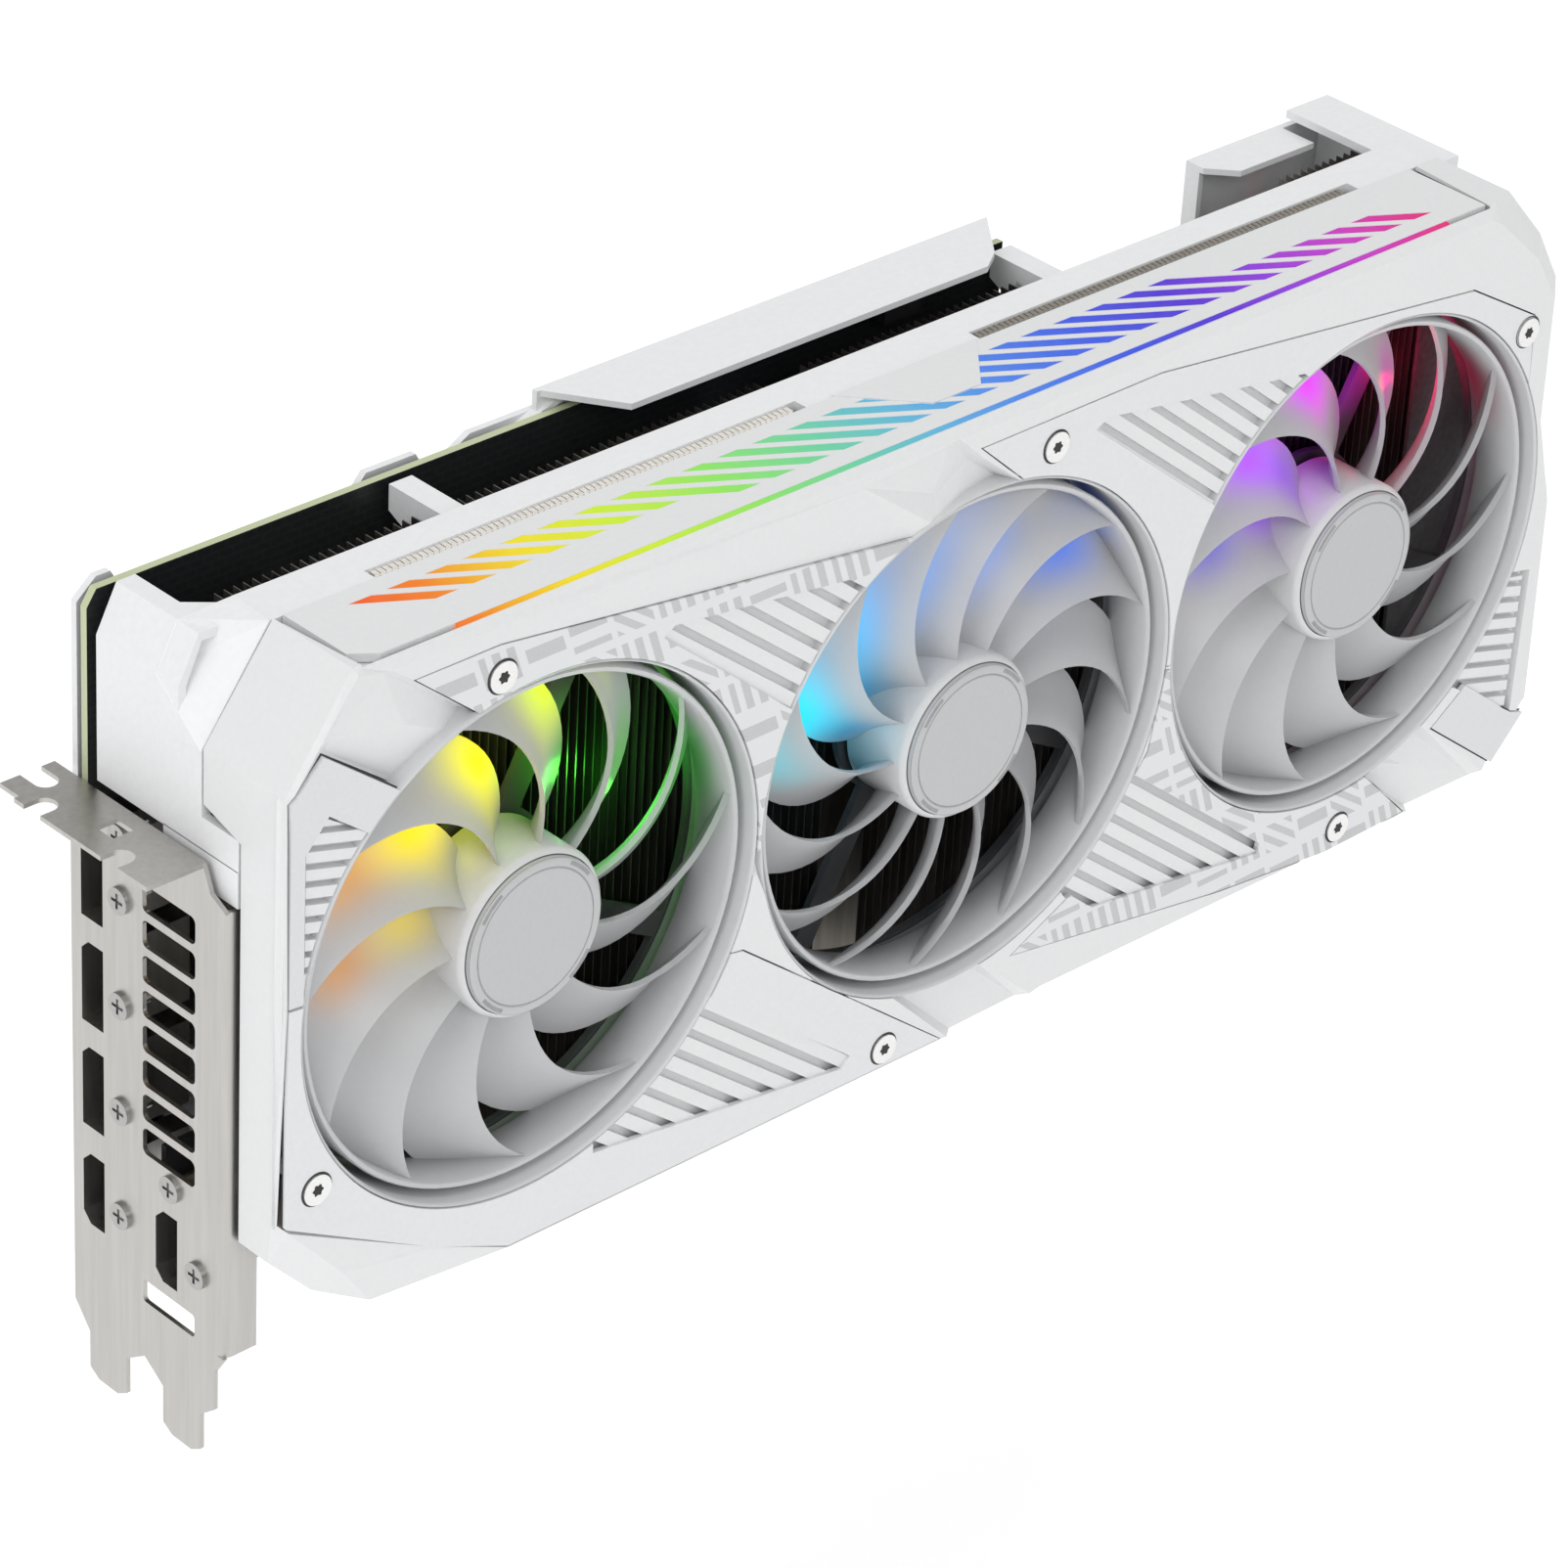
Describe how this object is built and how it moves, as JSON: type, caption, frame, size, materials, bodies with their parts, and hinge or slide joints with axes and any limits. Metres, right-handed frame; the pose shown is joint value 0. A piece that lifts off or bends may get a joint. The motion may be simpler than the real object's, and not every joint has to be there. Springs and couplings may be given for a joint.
{
  "type": "graphics card",
  "caption": "White computer graphics card with a finned air cooler, fans in a faceted shroud, a lit top edge, backplate, slotted steel bracket and keyed slot edge.",
  "frame": {"origin": "middle of the slot contact edge's lower face", "axes": "+X from the bracket to the tail, +Y from the fans to the backplate, +Z from the slot to the lit top edge"},
  "size_m": [0.3315, 0.0594, 0.1591],
  "materials": {
    "white_plastic": "satin",
    "white_fan": "satin, slightly translucent",
    "printed_panel": "satin with a pale geometric print",
    "white_metal": "satin powder coat",
    "diffuser": "milky, lit",
    "cap_face": "satin",
    "screw_steel": "satin nickel",
    "bracket_steel": "satin stainless",
    "black_board": "satin solder mask",
    "gold": "bright",
    "black_plastic": "satin",
    "chip_black": "matte epoxy",
    "die_silicon": "polished silicon",
    "package_green": "satin laminate",
    "choke_grey": "matte powdered iron",
    "can_aluminium": "satin",
    "pad_grey": "soft matte",
    "fin_aluminium": "dark anodised",
    "nickel": "nickel plate",
    "copper_coil": "enamelled copper",
    "spring_steel": "satin",
    "led_white": "gloss"
  },
  "bodies": {
    "card": {"front_shroud": "white_plastic", "printed_panel_upper": "printed_panel", "printed_panel_lower": "printed_panel", "plain_panel_lower": "white_plastic", "plain_panel_upper": "white_plastic", "left_inlay": "cap_face", "corner_inlay": "cap_face", "louvre_slats": "white_plastic", "shroud_screws": "screw_steel", "light_bar_cover": "white_plastic", "stripe_diffusers": "diffuser", "line_diffuser": "diffuser", "badge_plate": "white_plastic", "led_strip": "led_white", "mid_frame": "white_metal", "fin_stack_front": "fin_aluminium", "fin_stack_rear": "fin_aluminium", "heat_pipes": "nickel", "cold_plate": "nickel", "processor_die": "die_silicon", "processor_package": "package_green", "circuit_board": "black_board", "gold_contacts": "gold", "memory_chips": "chip_black", "thermal_pads": "pad_grey", "chokes": "choke_grey", "power_stages": "chip_black", "capacitors": "can_aluminium", "tension_plate": "spring_steel", "cooler_screws": "screw_steel", "backplate": "white_metal", "backplate_screws": "screw_steel", "backplate_crest": "white_metal", "backplate_tail_flange": "white_metal", "mounting_bracket": "bracket_steel", "bracket_screws": "screw_steel", "display_socket_shells": "bracket_steel", "display_socket_tongues": "black_plastic", "video_socket_shells": "bracket_steel", "video_socket_tongues": "black_plastic", "socket_riser_board": "black_board", "power_sockets": "black_plastic", "power_pins": "gold", "switch_body": "black_plastic", "fan_1_stator": "copper_coil", "fan_1_mount": "white_plastic", "fan_2_stator": "copper_coil", "fan_2_mount": "white_plastic", "fan_3_stator": "copper_coil", "fan_3_mount": "white_plastic"},
    "fan_1": {"fan_1_rotor": "white_fan", "fan_1_cap": "cap_face", "fan_1_shaft": "nickel"},
    "fan_2": {"fan_2_rotor": "white_fan", "fan_2_cap": "cap_face", "fan_2_shaft": "nickel"},
    "fan_3": {"fan_3_rotor": "white_fan", "fan_3_cap": "cap_face", "fan_3_shaft": "nickel"},
    "switch_slider": {"switch_slider": "led_white"}
  },
  "joints": [
    {"name": "fan_1_spin", "type": "hinge", "parent": "card", "child": "fan_1", "pos_m": [-0.03115, -0.04489, 0.0741], "axis": [0, -1, 0], "continuous": true},
    {"name": "fan_2_spin", "type": "hinge", "parent": "card", "child": "fan_2", "pos_m": [0.0711, -0.04489, 0.0741], "axis": [0, -1, 0], "continuous": true},
    {"name": "fan_3_spin", "type": "hinge", "parent": "card", "child": "fan_3", "pos_m": [0.17335, -0.04489, 0.0741], "axis": [0, -1, 0], "continuous": true},
    {"name": "switch_slide", "type": "slide", "parent": "card", "child": "switch_slider", "axis": [1, 0, 0], "range_m": [0, 0.002]}
  ]
}
